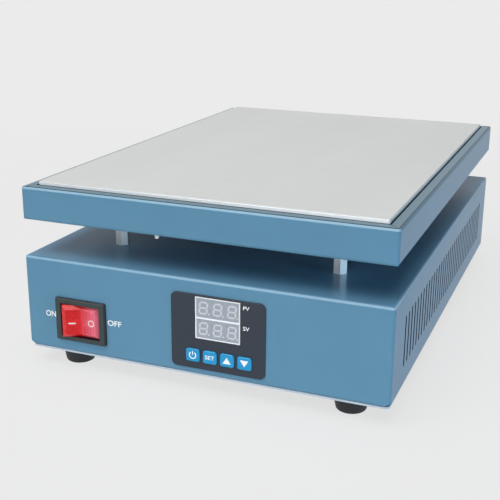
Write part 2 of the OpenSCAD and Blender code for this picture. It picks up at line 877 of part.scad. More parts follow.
module ribbon_half() {
    l = ribbon_out - ribbon_in;
    for (i = [0:ribbon_rows - 1]) translate([ribbon_in, ribbon_front + i * ribbon_pitch - ribbon_w / 2])
        square([l, ribbon_w]);
    for (i = [0:ribbon_rows - 2])
        translate([i % 2 == 0 ? ribbon_out - ribbon_w : ribbon_in,
                   ribbon_front + i * ribbon_pitch - ribbon_w / 2])
            square([ribbon_w, ribbon_pitch + ribbon_w]);
    translate([lead_strip_x - ribbon_w / 2, ribbon_front - ribbon_w / 2])
        square([ribbon_in + ribbon_w - lead_strip_x, ribbon_w]);
    translate([lead_strip_x - ribbon_w / 2, ribbon_front - ribbon_w / 2])
        square([ribbon_w, window_front - tab_grip - ribbon_front + ribbon_w / 2]);
    translate([0, ribbon_front + (ribbon_rows - 1) * ribbon_pitch - ribbon_w / 2])
        square([ribbon_in + ribbon_w, ribbon_w]);
}

module heating_ribbon() color([0.55, 0.5, 0.45]) {
    translate([0, 0, ribbon_z]) linear_extrude(ribbon_t) {
        ribbon_half();
        mirror([1, 0]) ribbon_half();
    }
}

module heater_tabs() color([0.8, 0.66, 0.3]) {
    for (s = [-1, 1]) translate([s * lead_strip_x - tab_w / 2, window_front - tab_grip, ribbon_z])
        cube([tab_w, tab_l, ribbon_t]);
}

module clamp_plate() color([0.6, 0.61, 0.62]) {
    translate([0, 0, clamp_z]) stack_sheet(clamp_t, window_w);
}

module clamp_screws() color([0.75, 0.75, 0.77]) {
    translate([0, 0, clamp_z]) clamp_screw_places() mirror([0, 0, 1])
        pan_screw(m3_r, plate_z - clamp_z + thread_bite);
}

module insulation_blanket() color([0.93, 0.93, 0.9]) {
    head_h = head_h_share * m4_r;
    translate([0, 0, tray_floor]) difference() {
        sheet(stack_w, stack_d, blanket_t, plate_corner_r);
        spacer_places() hole(spacer_r + hole_gap, blanket_t);
        translate([0, 0, blanket_t]) mirror([0, 0, 1]) clamp_screw_places()
            blind(head_r_share * m3_r + hole_gap, head_h);
        four(standoff_x, standoff_y) blind(head_r_share * m4_r + hole_gap, head_h + hole_gap);
        translate([-earth_screw_x, earth_screw_y, 0])
            blind(head_r_share * m3_r + hole_gap, head_h + hole_gap);
        translate([0, window_front + window_d / 2, -over])
            sheet(window_w, window_d, blanket_t + 2 * over, plate_corner_r);
    }
}

module thermocouple() color([0.7, 0.7, 0.72]) {
    difference() {
        union() {
            translate([0, ring_y, plate_z - ring_t]) cylinder(h = ring_t, r = ring_r);
            translate([0, ring_barrel_end, ring_barrel_z]) rotate([90, 0, 0])
                cylinder(h = ring_barrel_l + ring_r - ring_barrel_start, r = ring_barrel_r);
        }
        translate([0, ring_y, plate_z - ring_t]) hole(m4_r + seat_gap, ring_t);
    }
}

module thermocouple_screw() color([0.75, 0.75, 0.77]) {
    translate([0, ring_y, plate_z - ring_t]) mirror([0, 0, 1]) pan_screw(m4_r, ring_t + thread_bite);
}

// Rocker switch

module switch_body() color([0.12, 0.13, 0.14]) {
    on_front(switch_x, switch_z) difference() {
        union() {
            bevel_block(switch_w, switch_h, bezel_t, bezel_corner_r, bezel_bevel);
            translate([0, 0, -switch_depth])
                sheet(body_w, body_h, switch_depth + bezel_t / 2, body_corner_r);
            for (s = [-1, 1]) rotate([90, 0, 0]) linear_extrude(barb_h, center = true) polygon([
                [s * (body_w - end_wall) / 2, -sheet_t - seat_gap],
                [s * (body_w / 2 + barb_t), -sheet_t - seat_gap],
                [s * (body_w - end_wall) / 2, -sheet_t - barb_l]
            ]);
        }
        translate([0, 0, pivot_z - well_depth])
            sheet(well_w, well_h, well_depth - pivot_z + bezel_t + over, body_corner_r / 2);
        translate([0, 0, pivot_z]) rotate([90, 0, 0])
            cylinder(h = body_h + 2 * over, r = pivot_r + pivot_gap, center = true);
        switch_blade_places() blade_slot(blade_in + blade_gap);
    }
}

module switch_blade_places() {
    for (i = [-1, 1], j = [-1, 1])
        translate([i * blade_dx_share * body_w, j * blade_dz_share * body_h, -switch_depth])
            children();
}

// A blade that stands out of z = 0 downwards and goes in by the given depth
module blade(depth) {
    translate([-blade_t / 2, -blade_w / 2, -blade_out]) cube([blade_t, blade_w, blade_out + depth]);
}

module blade_slot(depth) {
    w = blade_t + 2 * blade_gap;
    h = blade_w + 2 * blade_gap;
    translate([-w / 2, -h / 2, -over]) cube([w, h, depth + over]);
}

// Seen from the side: two facets that meet in a valley, with an end square to each
module rocker_outline() {
    face_x = facet_l * cos(half_angle);
    face_y = rocker_valley + facet_l * sin(half_angle);
    end_x = face_x + 2 * pivot_depth * sin(half_angle);
    end_y = face_y - 2 * pivot_depth * cos(half_angle);
    intersection() {
        circle(rocker_r);
        polygon([[-rocker_r, -rocker_under], [rocker_r, -rocker_under], [end_x, end_y],
                 [face_x, face_y], [0, rocker_valley], [-face_x, face_y], [-end_x, end_y]]);
    }
}

// Bevels and finger ribs cut into one half of the rocker's face
module rocker_facet_cuts() {
    b = rocker_bevel * sqrt(2);
    lap = rocker_bevel * tan(half_angle);
    rib_l = (rocker_w - mark_gap) / 2 - rocker_bevel - rib_margin;
    for (s = [-1, 1]) translate([-lap, s * rocker_w / 2, 0]) rotate([45, 0, 0])
        translate([0, -b / 2, -b / 2]) cube([facet_l + lap + over, b, b]);
    translate([facet_l, 0, 0]) rotate([0, 45, 0]) cube([b, rocker_w + over, b], center = true);
    for (i = [0:rib_count - 1], s = [-1, 1])
        translate([rib_start_share * facet_l + i * rib_pitch, s * (mark_gap + rib_l) / 2, 0])
            cube([rib_w, rib_l, 2 * rib_depth], center = true);
}

module switch_rocker() color([0.84, 0.2, 0.22]) {
    on_front(switch_x, switch_z) translate([0, 0, pivot_z]) rotate([0, half_angle, 0]) {
        difference() {
            rotate([90, 0, 0]) linear_extrude(rocker_w, center = true) rocker_outline();
            for (m = [0, 1]) mirror([m, 0, 0]) translate([0, 0, rocker_valley])
                rotate([0, -half_angle, 0]) rocker_facet_cuts();
        }
        rotate([90, 0, 0]) cylinder(h = body_h - 2 * seat_gap, r = pivot_r, center = true);
    }
}

module switch_terminals() color([0.82, 0.78, 0.6]) {
    on_front(switch_x, switch_z) switch_blade_places() blade(blade_in);
}

// Control panel

// The openings for the display and keys through a sheet that starts at z
module panel_openings(z, t) {
    gap2 = 2 * panel_gap;
    translate([0, 0, z - over]) {
        translate([0, display_z, 0])
            sheet(display_w + gap2, display_h + gap2, t + 2 * over, panel_gap);
        for (i = [0:3]) key_place(i)
            sheet(key_w + gap2, key_h + gap2, t + 2 * over, key_r + panel_gap);
    }
}

module key_place(i) {
    translate([key_shift + (i - 1.5) * key_pitch, keys_z, 0]) children();
}

module control_overlay() color([0.2, 0.21, 0.24]) {
    on_front(panel_off, panel_z) difference() {
        bevel_block(panel_w, panel_h, panel_t, panel_r, panel_t / 4);
        panel_openings(0, panel_t);
    }
}

module display_place() {
    on_front(panel_off, panel_z) translate([0, display_z, panel_t - display_sink]) children();
}

module display_rows() {
    for (s = [-1, 1]) translate([0, s * (row_h + frame_bar) / 2, -face_depth]) children();
}

module digit_shapes() {
    h = digit_h / 2;
    w = digit_w / 2;
    for (i = [0:digits - 1]) translate([(i - (digits - 1) / 2) * row_w / digits, 0]) {
        for (z = [-h, 0, h]) polygon(seg_points(0, z, digit_w, false));
        for (x = [-w, w], z = [-h / 2, h / 2]) polygon(seg_points(x, z, h, true));
        translate([w + segment_w / 2 + point_r, -h]) circle(point_r);
    }
}

module display_frame() color([0.93, 0.93, 0.93]) {
    display_place() difference() {
        translate([0, 0, -display_depth]) sheet(display_w, display_h, display_depth, panel_gap);
        display_rows() translate([-row_w / 2, -row_h / 2, 0]) cube([row_w, row_h, face_depth + over]);
    }
}

module display_face() color([0.7, 0.71, 0.73]) {
    display_place() display_rows() linear_extrude(face_depth - face_sink) difference() {
        square([row_w, row_h], center = true);
        digit_shapes();
    }
}

module digit_segments() color([0.88, 0.88, 0.88]) {
    display_place() display_rows() linear_extrude(face_depth - face_sink) digit_shapes();
}

module key_cap(i) {
    face = panel_t + key_proud;
    collar = -sheet_t - seat_gap;
    tact_top = board_front + tact_h;
    on_front(panel_off, panel_z) key_place(i) {
        translate([0, 0, collar]) bevel_block(key_w, key_h, face - collar, key_r, key_bevel);
        translate([0, 0, collar - key_collar_t])
            sheet(key_w + 2 * key_collar, key_h + 2 * key_collar, key_collar_t, key_r);
        translate([0, 0, tact_top - key_engage])
            cylinder(h = collar - key_collar_t / 2 - tact_top + key_engage, r = key_stem_r);
    }
}

module button_power() color([0.12, 0.62, 0.82]) key_cap(0);

module button_set() color([0.12, 0.62, 0.82]) key_cap(1);

module button_up() color([0.12, 0.62, 0.82]) key_cap(2);

module button_down() color([0.12, 0.62, 0.82]) key_cap(3);

// Control board behind the panel

module board_back() {
    on_front(panel_off, panel_z) translate([0, 0, board_front - board_t]) rotate([0, 180, 0]) children();
}

module board_corners() {
    four(board_w / 2 - pillar_inset, board_h / 2 - pillar_inset) children();
}

module control_board() color([0.1, 0.36, 0.2]) {
    on_front(panel_off, panel_z) translate([0, 0, board_front - board_t]) difference() {
        sheet(board_w, board_h, board_t, board_r);
        board_corners() hole(m3_r + screw_gap, board_t);
    }
}

module board_pillars() color([0.8, 0.8, 0.78]) {
    on_front(panel_off, panel_z) translate([0, 0, board_front]) board_corners()
        hex_bar(pillar_af, -sheet_t - board_front, m3_r + seat_gap);
}

module board_screws() color([0.75, 0.75, 0.77]) {
    board_back() board_corners() pan_screw(m3_r, board_t + thread_bite);
}

module tact_switches() color([0.15, 0.15, 0.16]) {
    well = key_engage + key_travel + seat_gap;
    on_front(panel_off, panel_z) for (i = [0:3]) key_place(i) translate([0, 0, board_front]) difference() {
        sheet(tact_w, tact_w, tact_h, body_corner_r);
        translate([0, 0, tact_h - well]) cylinder(h = well + over, r = tact_well_r);
    }
}

module board_transformer() color([0.75, 0.7, 0.25]) {
    board_back() translate([core_x_share * board_w, board_h / 4, 0]) {
        translate([0, 0, bobbin_t / 2]) cube([core_w, core_h, core_t], center = true);
        sheet(bobbin_w, bobbin_h, bobbin_t, body_corner_r);
    }
}

module board_capacitor() color([0.15, 0.18, 0.35]) {
    board_back() translate([-board_w / 4, board_h / 4, 0]) cylinder(h = capacitor_l, r = capacitor_r);
}

module board_terminals() color([0.2, 0.5, 0.25]) {
    board_back() translate([0, block_z, 0]) difference() {
        translate([-board_ways * board_way / 2, -block_h / 2, 0])
            cube([board_ways * board_way, block_h, block_t]);
        for (i = [0:board_ways - 1])
            translate([(i - (board_ways - 1) / 2) * board_way, 0, block_t - block_well])
                cylinder(h = block_well + over, r = board_way / 2 - block_wall);
    }
}

// Heatsink and relay

module sink_screw_places() {
    for (s = [-1, 1]) translate([sink_x + sink_t / 2, sink_y + s * sink_screw_y, 0]) children();
}

module heatsink() color([0.72, 0.73, 0.75]) {
    pitch = (sink_l - fin_t) / (fins - 1);
    difference() {
        translate([sink_x, sink_y, case_z]) linear_extrude(sink_h) {
            translate([0, -sink_l / 2]) square([sink_t, sink_l]);
            for (i = [0:fins - 1]) translate([sink_t / 2, i * pitch - sink_l / 2])
                square([sink_t / 2 + fin_l, fin_t]);
        }
        translate([0, 0, case_z]) sink_screw_places()
            blind(m3_r + seat_gap, sink_screw_l - sheet_t + seat_gap);
        on_sink() relay_screw_places() mirror([0, 0, 1]) blind(m3_r + seat_gap, thread_bite + seat_gap);
    }
}

// Frame on the heatsink's left face: z points left, x points up
module on_sink() {
    translate([sink_x, sink_y, relay_z]) rotate([0, -90, 0]) children();
}

module relay_screw_places() {
    for (s = [-1, 1]) translate([0, s * relay_screw_y, 0]) children();
}

module solid_state_relay() color([0.1, 0.1, 0.11]) {
    on_sink() difference() {
        bevel_block(relay_h, relay_l, relay_t, relay_edge, relay_edge);
        relay_screw_places() hole(m3_r + screw_gap, relay_t);
    }
}

module relay_screws() color([0.75, 0.75, 0.77]) {
    on_sink() relay_screw_places() translate([0, 0, relay_t]) pan_screw(m3_r, relay_t + thread_bite);
}

module relay_terminals() color([0.8, 0.66, 0.3]) {
    on_sink() four(relay_block_z, relay_block_y)
        translate([-relay_block_h / 2, -relay_block_w / 2, relay_t])
            cube([relay_block_h, relay_block_w, relay_block_t]);
}

// Terminal strip and earth stud

module strip_screw_places() {
    for (s = [-1, 1]) translate([strip_x + s * (strip_l + strip_lug) / 2, strip_back, 0]) children();
}

module terminal_strip() color([0.9, 0.9, 0.88]) {
    foot_l = strip_l + 2 * strip_lug;
    translate([0, 0, case_z]) difference() {
        translate([strip_x, strip_back, 0]) {
            translate([-foot_l / 2, -strip_w / 4, 0]) cube([foot_l, strip_w / 2, strip_lug_h]);
            translate([-strip_l / 2, -strip_w / 2, 0]) cube([strip_l, strip_w, strip_h]);
            for (i = [0:ways]) translate([i * way_pitch - strip_l / 2, -strip_w / 2, strip_h / 2])
                cube([barrier_t, strip_w, strip_h / 2 + barrier_h]);
        }
        strip_screw_places() hole(m3_r + screw_gap, strip_lug_h);
    }
}

module strip_contacts() color([0.8, 0.66, 0.3]) {
    for (i = [0:ways - 1]) translate([strip_way_x(i), strip_back, case_z + strip_h]) {
        translate([-contact_w / 2, -strip_w / 2, 0]) cube([contact_w, strip_w, contact_h]);
        for (s = [-1, 1]) translate([0, s * strip_w / 4, contact_h])
            cylinder(h = head_h_share * m3_r, r = m3_r * head_r_share);
    }
}

module strip_screws() color([0.75, 0.75, 0.77]) {
    translate([0, 0, case_z + strip_lug_h]) strip_screw_places() pan_screw(m3_r, strip_lug_h + sheet_t);
}

module earth_stud() color([0.8, 0.7, 0.35]) {
    translate([inlet_x, stud_y, foot_h]) mirror([0, 0, 1]) pan_screw(m4_r, stud_l);
}

module earth_lug() color([0.78, 0.78, 0.78]) {
    translate([inlet_x, stud_y, case_z]) {
        difference() {
            cylinder(h = ring_t, r = ring_r);
            hole(m4_r + seat_gap, ring_t);
        }
        translate([0, ring_r + lug_barrel_l, lug_barrel_r]) rotate([90, 0, 0])
            cylinder(h = ring_r + lug_barrel_l - lug_barrel_start, r = lug_barrel_r);
    }
}

// Mains inlet

module cavity_outline() {
    w = cavity_w / 2;
    h = cavity_h / 2;
    polygon([[-w, -h], [w, -h], [w, h - cavity_cut], [w - cavity_cut, h],
             [cavity_cut - w, h], [-w, h - cavity_cut]]);
}

module inlet_pin_places() {
    for (p = [[-pin_span, -pin_drop], [0, pin_drop], [pin_span, -pin_drop]]) translate([p[0], p[1], 0])
        children();
}

module power_inlet() color([0.1, 0.1, 0.11]) {
    on_rear(inlet_x, case_mid) difference() {
        union() {
            sheet(inlet_w, inlet_h, inlet_t, inlet_corner_r);
            translate([0, 0, -inlet_depth])
                sheet(inlet_body_w, inlet_body_h, inlet_depth + inlet_t / 2, body_corner_r);
        }
        translate([0, 0, inlet_t - cavity_depth]) linear_extrude(cavity_depth + over)
            cavity_outline();
        for (s = [-1, 1]) translate([s * inlet_hole_span / 2, 0, 0])
            hole(m3_r + screw_gap, inlet_t);
        inlet_pin_places() {
            translate([-pin_w / 2 - blade_gap, -pin_h / 2 - blade_gap, pin_z - blade_gap])
                cube([pin_w + 2 * blade_gap, pin_h + 2 * blade_gap, pin_l]);
            translate([0, 0, -inlet_depth]) blade_slot(pin_z + inlet_depth + blade_in / 2);
        }
    }
}

module inlet_pins() color([0.82, 0.8, 0.7]) {
    on_rear(inlet_x, case_mid) inlet_pin_places() {
        translate([-pin_w / 2, -pin_h / 2, pin_z]) cube([pin_w, pin_h, pin_l]);
        translate([0, 0, -inlet_depth]) blade(pin_z + inlet_depth + blade_in / 3);
    }
}

module inlet_screw_places() {
    on_rear(inlet_x, case_mid) for (s = [-1, 1]) translate([s * inlet_hole_span / 2, 0, 0])
        children();
}

module inlet_screws() color([0.75, 0.75, 0.77]) {
    inlet_screw_places() translate([0, 0, inlet_t])
        pan_screw(m3_r, inlet_t + sheet_t + nut_h_share * m3_r + over);
}

// Wiring

module receptacle() {
    difference() {
        translate([-receptacle_t / 2, -receptacle_w / 2, -receptacle_l])
            cube([receptacle_t, receptacle_w, receptacle_l]);
        mirror([0, 0, 1]) blade_slot(receptacle_l - receptacle_back);
    }
}

module wire_receptacles() color([0.75, 0.25, 0.2]) {
    on_front(switch_x, switch_z) switch_blade_places() receptacle();
    on_rear(inlet_x, case_mid) inlet_pin_places() translate([0, 0, -inlet_depth]) receptacle();
}

function switch_tab(i, j) = [switch_x + i * blade_dx_share * body_w,
    switch_depth + receptacle_l - case_d / 2, switch_z + j * blade_dz_share * body_h];
function inlet_tab(dx, dz) =
    [inlet_x + dx, case_d / 2 - inlet_depth - receptacle_l, case_mid + dz];
function strip_end(i, s, dx) = [strip_way_x(i) + dx, strip_back + s * strip_w / 2, contact_z];
function relay_end(j, k, dy) = [sink_x - relay_t - relay_block_t,
    sink_y + j * relay_block_y + dy, relay_z + k * relay_block_z];
function board_end(i) =
    [board_way_x(i), block_t - block_well - board_front + board_t - case_d / 2, panel_z + block_z];

module mains_wires() color([0.3, 0.2, 0.12]) {
    up = [0, 0, 1];
    fore = [0, -1, 0];
    back = [0, 1, 0];
    wire([run(inlet_tab(-pin_span, -pin_drop), mid_pull * fore, strip_end(0, 1, 0), mid_pull * back)],
        wire_r, up);
    wire([run(inlet_tab(pin_span, -pin_drop), mid_pull * fore, strip_end(1, 1, 0), mid_pull * back)],
        wire_r, up);
    wire([run(inlet_tab(0, pin_drop), short_pull * fore,
        [inlet_x, stud_y + ring_r + lug_barrel_l, case_z + lug_barrel_r], short_pull * back)],
        wire_r, [1, 0, 0]);
    wire([run(strip_end(0, -1, 0), mid_pull * fore, switch_tab(-1, -1), mid_pull * back)], wire_r, up);
    wire([run(strip_end(1, -1, 0), mid_pull * fore, switch_tab(1, -1), mid_pull * back)], wire_r, up);
    wire([run(strip_end(2, -1, 0), mid_pull * fore, switch_tab(-1, 1), mid_pull * back)], wire_r, up);
    wire([run(strip_end(3, -1, -wire_pair), mid_pull * fore, switch_tab(1, 1), mid_pull * back)],
        wire_r, up);
    wire([run(strip_end(3, -1, wire_pair), long_pull * fore, board_end(0), long_pull * back)],
        wire_r, up);
    wire([run(relay_end(-1, 1, -wire_pair), [-mid_pull, 0, 0], board_end(4), mid_pull * back)],
        wire_r, up);
}

// A heater lead from its start to the sleeve, up through it and on to a tab
module heater_lead(start, pull, s, side) {
    low = [s * lead_spread, lead_y, sleeve_low];
    high = [s * lead_spread, lead_y, sleeve_high];
    tab = [s * lead_strip_x, window_front + tab_l / 2 - tab_grip / 4, ribbon_z];
    rise = [0, 0, lead_pull];
    wire([run(start, pull, low, [0, 0, -mid_pull]), run(low, rise, high, -rise),
        run(high, rise, tab, -rise)], wire_r, side);
}

module heater_wires() color([0.75, 0.72, 0.65]) {
    cross_over = [-mid_pull, lead_y + mid_pull, contact_z + lead_pull];
    wire([run(strip_end(2, 1, 0), [0, mid_pull, 0], cross_over, [-mid_pull, 0, 0]),
        run(cross_over, [long_pull, 0, 0], relay_end(-1, 1, wire_pair), [-mid_pull, 0, 0])],
        wire_r, [0, 0, 1]);
    heater_lead(relay_end(1, 1, 0), [-mid_pull, 0, 0], 1, [1, 0, 1]);
    heater_lead(strip_end(3, 1, 0), [0, short_pull, 0], -1, [1, -1, 1]);
}

module signal_wires() color([0.15, 0.15, 0.5]) {
    low = [0, lead_y, sleeve_low];
    high = [0, lead_y, sleeve_high];
    rise = [0, 0, lead_pull];
    wire([run(relay_end(-1, -1, 0), [-mid_pull, 0, 0], board_end(3), [0, mid_pull, 0])],
        signal_r, [0, 0, 1]);
    wire([run(relay_end(1, -1, 0), [-mid_pull, 0, 0], board_end(2), [0, long_pull, 0])],
        signal_r, [0, 0, 1]);
    wire([run(board_end(1), [0, long_pull, 0], low, [0, 0, -mid_pull]), run(low, rise, high, -rise),
        run(high, rise, [0, ring_barrel_end, ring_barrel_z], [0, lead_pull, 0])],
        signal_r, [1, 0, 0]);
}

base_case();
bottom_plate();
bottom_screws();
rubber_feet();
foot_screws();
case_nuts();
standoffs();
standoff_screws();
lead_grommets();
lead_sleeve();
top_tray();
tray_earth_screw();
tray_earth_nut();
heating_plate();
plate_spacers();
plate_screws();
upper_mica();
heating_ribbon();
heater_tabs();
lower_mica();
clamp_plate();
clamp_screws();
insulation_blanket();
thermocouple();
thermocouple_screw();
switch_body();
switch_rocker();
switch_terminals();
control_overlay();
display_frame();
display_face();
digit_segments();
button_power();
button_set();
button_up();
button_down();
control_board();
board_pillars();
board_screws();
tact_switches();
board_transformer();
board_capacitor();
board_terminals();
heatsink();
solid_state_relay();
relay_screws();
relay_terminals();
terminal_strip();
strip_contacts();
strip_screws();
earth_stud();
earth_lug();
power_inlet();
inlet_pins();
inlet_screws();
wire_receptacles();
mains_wires();
heater_wires();
signal_wires();
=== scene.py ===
"""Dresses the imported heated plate: camera, materials, printed marks, lamps and floor."""
import json
import math

import bmesh
import bpy
from mathutils import Matrix, Vector


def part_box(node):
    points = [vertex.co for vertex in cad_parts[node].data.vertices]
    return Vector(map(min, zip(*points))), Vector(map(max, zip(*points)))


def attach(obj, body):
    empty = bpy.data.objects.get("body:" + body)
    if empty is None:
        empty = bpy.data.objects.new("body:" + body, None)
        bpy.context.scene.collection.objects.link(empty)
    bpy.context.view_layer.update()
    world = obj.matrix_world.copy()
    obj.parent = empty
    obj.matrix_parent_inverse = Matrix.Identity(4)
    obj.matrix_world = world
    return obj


MM = 0.001

# The photograph's camera: its place in metres, its angles in degrees, its lens and sensor in
# millimetres, and its shift as a share of the picture
CAMERA_PLACE = (0.19458, -0.56375, 0.22774)
CAMERA_AZIMUTH = 21.385
CAMERA_PITCH = 17.644
CAMERA_ROLL = 0.545
CAMERA_LENS = 66.86
CAMERA_SENSOR = 36.0
CAMERA_SHIFT = (-0.0093, -0.0044)

# The room: pale to the eye and in reflections, with a dark ceiling in reflections that sets in
# between two heights (0 is level, 1 straight up), and a faint light of its own from all round
BACKGROUND = (0.83, 0.83, 0.83, 1.0)
CEILING = (0.15, 0.15, 0.15, 1.0)
CEILING_START = 0.45
CEILING_END = 0.75
AMBIENT = 0.03

# The floor: its colour, its glow to the eye and in reflections, and how far out it fades
FLOOR_COLOUR = (0.82, 0.82, 0.815, 1.0)
FLOOR_GLOW = (0.83, 0.83, 0.83, 1.0)
FLOOR_GLOW_SHARE = 0.85
FLOOR_SOLID_RADIUS = 0.3
FLOOR_FADE_RADIUS = 0.75
FLOOR_MESH_RADIUS = 1.1
FLOOR_SIDES = 96

# Printed marks: how far they stand out of the surface that carries them, how deep they start,
# how far in front of a node the search for its surface begins, degrees between points of an arc,
# and how close two corners of a letter are before they become one
PRINT_OUT = 0.06 * MM
PRINT_IN = 0.04 * MM
RAY_START = 50 * MM
ARC_STEP = 7.5
MERGE_DISTANCE = 1e-6

# Printed words: width and height of each
ON_SIZE = (6.5 * MM, 3.5 * MM)
OFF_SIZE = (8.6 * MM, 3.3 * MM)
PV_SIZE = (3.5 * MM, 2.1 * MM)
SV_SIZE = (3.6 * MM, 2.2 * MM)
SET_SIZE = (5.3 * MM, 2.3 * MM)

# Gaps beside the switch and the display, the words' top edge above the switch's middle, and the
# top edges of the two rows' words below the display's top
SWITCH_GAP = 0.75 * MM
DISPLAY_GAP = 1.7 * MM
SWITCH_WORD_RISE = 3.35 * MM
PV_DROP = 1.5 * MM
SV_DROP = 12.7 * MM

# Sheet bends: their outer radius, and how far below the top the painted highlight and the painted shade on them
# start and end
BEND_RADIUS = 1.8 * MM
BEND_START = 0.75 * BEND_RADIUS
BEND_END = BEND_RADIUS / 6

# Corner radius of the bottom plate, bevel of the heating plate, and depth of a painted skin
COVER_CORNER_RADIUS = 3.0 * MM
EDGE_CHAMFER = 0.3 * MM
SKIN = 0.05 * MM

# The rocker: its node, how far its facets' shared edge lies in front of the pivot, how far out
# on its facets the bar and the ring stand, and how far the painted sheen stops short of its end
ROCKER = "switch_rocker"
FACET_DROP = 3.0 * MM
BAR_OUT = 5.0 * MM
RING_OUT = 6.4 * MM
SHEEN_MARGIN = 3 * MM

# Sockets of a colour mix node
MIX_FIRST = 6
MIX_SECOND = 7
MIX_RESULT = 2


def linear(*rgb):
    """A colour written as screen values from 0 to 255, as linear values with alpha."""
    def one(value):
        share = value / 255
        return share / 12.92 if share <= 0.04045 else ((share + 0.055) / 1.055) ** 2.4
    return tuple(one(value) for value in rgb) + (1.0,)


def shade(colour, factor):
    """The colour made darker or lighter by a factor, with no part over 1."""
    return tuple(min(1.0, part * factor) for part in colour[:3]) + (1.0,)


class Finish:
    """A principled material that is built up one layer of detail at a time."""

    def __init__(self, name, colour, roughness, metallic=0.0, specular=0.5):
        self.material = bpy.data.materials.new(name)
        self.material.use_nodes = True
        self.tree = self.material.node_tree
        self.shader = self.tree.nodes["Principled BSDF"]
        self.colour = colour
        self.roughness = roughness
        self.normal = None
        self.set("Base Color", colour)
        self.set("Roughness", roughness)
        self.set("Metallic", metallic)
        self.set("Specular IOR Level", specular)
        self.place = self.tree.nodes.new("ShaderNodeTexCoord").outputs["Object"]

    def set(self, socket, value):
        """Sets one of the shader's own values."""
        self.shader.inputs[socket].default_value = value
        return self

    def link(self, start, end):
        """Joins an output to an input."""
        self.tree.links.new(start, end)

    def stretched(self, stretch):
        """Object coordinates, scaled by a factor along each axis."""
        if stretch == (1, 1, 1):
            return self.place
        node = self.tree.nodes.new("ShaderNodeMapping")
        node.inputs["Scale"].default_value = stretch
        self.link(self.place, node.inputs["Vector"])
        return node.outputs["Vector"]

    def along(self, axis):
        """The place along one axis, in metres."""
        node = self.tree.nodes.new("ShaderNodeSeparateXYZ")
        self.link(self.place, node.inputs[0])
        return node.outputs[axis]

    def noise(self, size, detail=3.0, stretch=(1, 1, 1)):
        """Smooth noise with features of the given size in metres."""
        node = self.tree.nodes.new("ShaderNodeTexNoise")
        node.inputs["Scale"].default_value = 1 / size
        node.inputs["Detail"].default_value = detail
        self.link(self.stretched(stretch), node.inputs["Vector"])
        return node.outputs["Fac"]

    def cells(self, size, stretch=(1, 1, 1)):
        """Cells of the given size in metres, each with a value of its own."""
        node = self.tree.nodes.new("ShaderNodeTexVoronoi")
        node.inputs["Scale"].default_value = 1 / size
        self.link(self.stretched(stretch), node.inputs["Vector"])
        split = self.tree.nodes.new("ShaderNodeSeparateColor")
        self.link(node.outputs["Color"], split.inputs["Color"])
        return split.outputs["Red"]

    def waves(self, pitch, direction, distortion=0.0):
        """Parallel ridges with the given spacing in metres, across one axis."""
        node = self.tree.nodes.new("ShaderNodeTexWave")
        node.bands_direction = direction
        node.inputs["Scale"].default_value = math.pi / (10 * pitch)
        node.inputs["Distortion"].default_value = distortion
        self.link(self.place, node.inputs["Vector"])
        return node.outputs["Fac"]

    def remap(self, source, low, high, start=0.3, end=0.7):
        """The source's values from start to end, spread from low to high."""
        node = self.tree.nodes.new("ShaderNodeMapRange")
        node.inputs["From Min"].default_value = start
        node.inputs["From Max"].default_value = end
        node.inputs["To Min"].default_value = low
        node.inputs["To Max"].default_value = high
        self.link(source, node.inputs["Value"])
        return node.outputs["Result"]

    def mottled(self, source, spread, tint=None):
        """Varies the colour by a share either way, or towards another colour."""
        mix = self.tree.nodes.new("ShaderNodeMix")
        mix.data_type = "RGBA"
        mix.inputs[MIX_FIRST].default_value = shade(self.colour, 1 - spread)
        mix.inputs[MIX_SECOND].default_value = tint or shade(self.colour, 1 + spread)
        self.link(self.remap(source, 0, 1), mix.inputs[0])
        self.link(mix.outputs[MIX_RESULT], self.shader.inputs["Base Color"])
        return self

    def vector(self, operation, first, second=None):
        """A step of vector arithmetic, whose second part is a plain vector."""
        node = self.tree.nodes.new("ShaderNodeVectorMath")
        node.operation = operation
        self.link(first, node.inputs[0])
        if second is not None:
            node.inputs[1].default_value = second
        return node.outputs["Value" if operation == "LENGTH" else "Vector"]

    def compared(self, operation, source, value):
        """1 where the comparison of the source with a value holds, and 0 elsewhere."""
        node = self.tree.nodes.new("ShaderNodeMath")
        node.operation = operation
        self.link(source, node.inputs[0])
        node.inputs[1].default_value = value
        return node.outputs[0]

    def above(self, source, value):
        """1 where the source is more than the value."""
        return self.compared("GREATER_THAN", source, value)

    def below(self, source, value):
        """1 where the source is less than the value."""
        return self.compared("LESS_THAN", source, value)

    def within(self, source, low, high):
        """1 where the source lies between two values."""
        return self.combined("MULTIPLY", self.above(source, low), self.below(source, high))

    def combined(self, operation, first, second):
        """Two values made into one."""
        node = self.tree.nodes.new("ShaderNodeMath")
        node.operation = operation
        self.link(first, node.inputs[0])
        self.link(second, node.inputs[1])
        return node.outputs[0]

    def mixed(self, share, first, second):
        """Two shaders in one, the second by the given share."""
        node = self.tree.nodes.new("ShaderNodeMixShader")
        for socket, source in zip(node.inputs, (share, first, second)):
            self.link(source, socket)
        return node.outputs[0]

    def box_depth(self, low, high, radius):
        """How far a point lies outside the core of a box whose edges have the given radius."""
        core = (high - low) / 2 - Vector((radius, radius, radius))
        away = self.vector("ABSOLUTE", self.vector("SUBTRACT", self.place, (low + high) / 2))
        past = self.vector("MAXIMUM", self.vector("SUBTRACT", away, core), (0, 0, 0))
        return self.vector("LENGTH", past)

    def patched(self, mask, colour):
        """Another colour where the mask is 1."""
        socket = self.shader.inputs["Base Color"]
        mix = self.tree.nodes.new("ShaderNodeMix")
        mix.data_type = "RGBA"
        mix.inputs[MIX_FIRST].default_value = socket.default_value
        if socket.links:
            self.link(socket.links[0].from_socket, mix.inputs[MIX_FIRST])
        mix.inputs[MIX_SECOND].default_value = colour
        self.link(mask, mix.inputs[0])
        self.link(mix.outputs[MIX_RESULT], socket)
        return self

